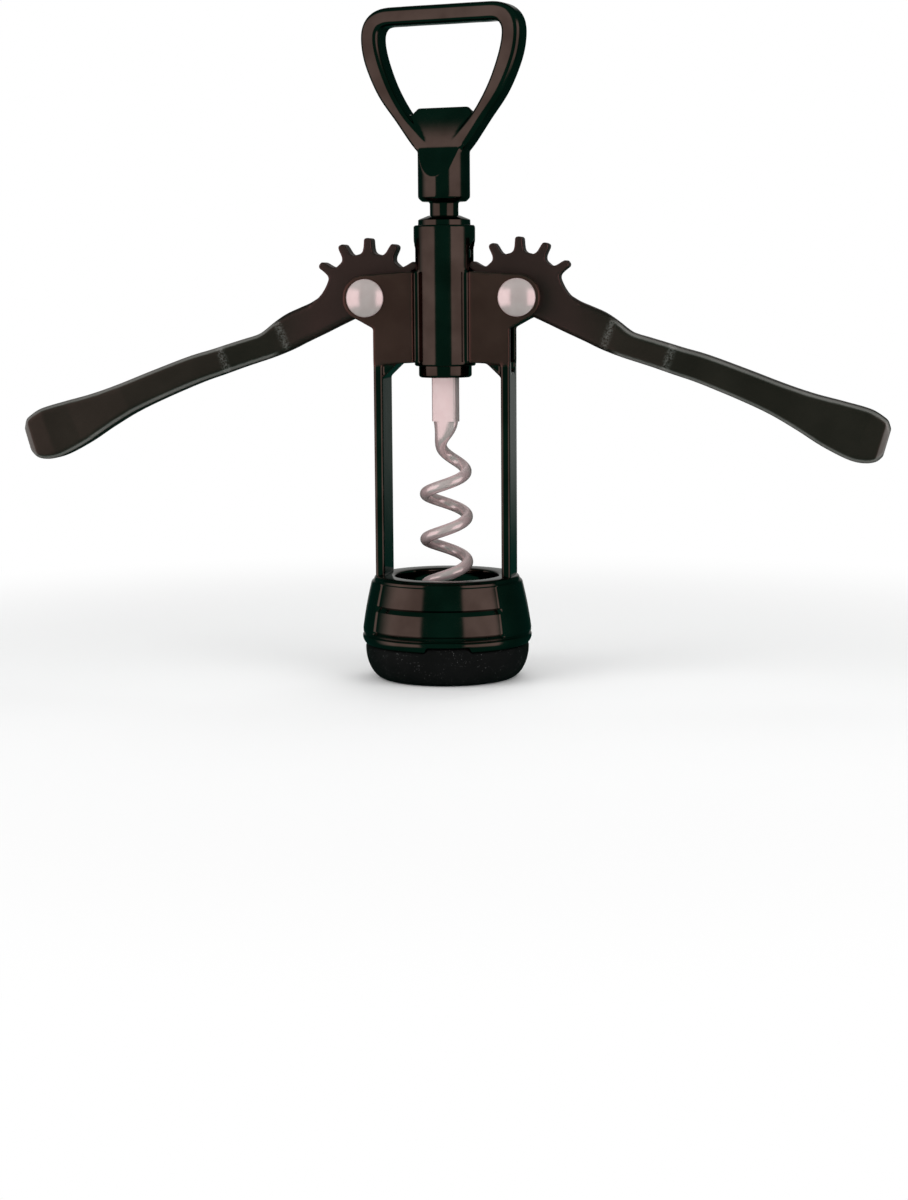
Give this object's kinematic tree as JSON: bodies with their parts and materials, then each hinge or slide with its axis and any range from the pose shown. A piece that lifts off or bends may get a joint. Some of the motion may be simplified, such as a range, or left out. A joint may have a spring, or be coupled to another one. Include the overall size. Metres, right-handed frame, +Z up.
{
  "type": "wing corkscrew",
  "caption": "Wing corkscrew: geared levers raise a ring rack, a turning bow handle with cap lifter drives a right-hand worm, and a banded bell seats on the bottle.",
  "frame": {"origin": "centre of the guide ring's lower rim, the end that goes over the bottle", "axes": "+Z up along the worm to the handle, +X to the right lever, front towards -Y"},
  "size_m": [0.2222, 0.0436, 0.1684],
  "materials": {
    "black_nickel": "polished dark nickel plating on a zinc casting",
    "lever_black": "satin black plating",
    "bright_nickel": "polished nickel",
    "steel": "plain turned steel",
    "guide_plastic": "matte black moulded plastic"
  },
  "bodies": {
    "frame": {"guide_ring": "guide_plastic", "bell": "black_nickel", "post_left": "black_nickel", "post_right": "black_nickel", "barrel": "black_nickel", "cheek_front_left": "black_nickel", "cheek_front_right": "black_nickel", "cheek_rear_left": "black_nickel", "cheek_rear_right": "black_nickel", "pivot_pin_left": "steel", "pivot_pin_right": "steel", "cap_front_left": "bright_nickel", "cap_front_right": "bright_nickel", "cap_rear_left": "bright_nickel", "cap_rear_right": "bright_nickel"},
    "lever_left": {"lever_left": "lever_black"},
    "lever_right": {"lever_right": "lever_black"},
    "rack": {"rack_sleeve": "black_nickel"},
    "spindle": {"handle": "black_nickel", "spindle_rod": "steel", "worm_socket": "black_nickel", "worm": "bright_nickel"}
  },
  "joints": [
    {"name": "rack_lift", "type": "slide", "parent": "frame", "child": "rack", "axis": [0, 0, 1], "range_m": [-0.0155, 0.01]},
    {"name": "lever_left_pivot", "type": "hinge", "parent": "frame", "child": "lever_left", "pos_m": [-0.0192, 0, 0.0964], "axis": [0, 1, 0], "range_deg": [-44.2, 68.5]},
    {"name": "lever_right_pivot", "type": "hinge", "parent": "frame", "child": "lever_right", "pos_m": [0.0192, 0, 0.0964], "axis": [0, 1, 0], "range_deg": [-68.5, 44.2]},
    {"name": "handle_spin", "type": "hinge", "parent": "rack", "child": "spindle", "pos_m": [0, 0, 0.12], "axis": [0, 0, 1], "continuous": true}
  ],
  "couplings": [
    {"joint": "lever_left_pivot", "follows": "rack_lift", "rad_per_m": -76.923},
    {"joint": "lever_right_pivot", "follows": "rack_lift", "rad_per_m": 76.923}
  ]
}
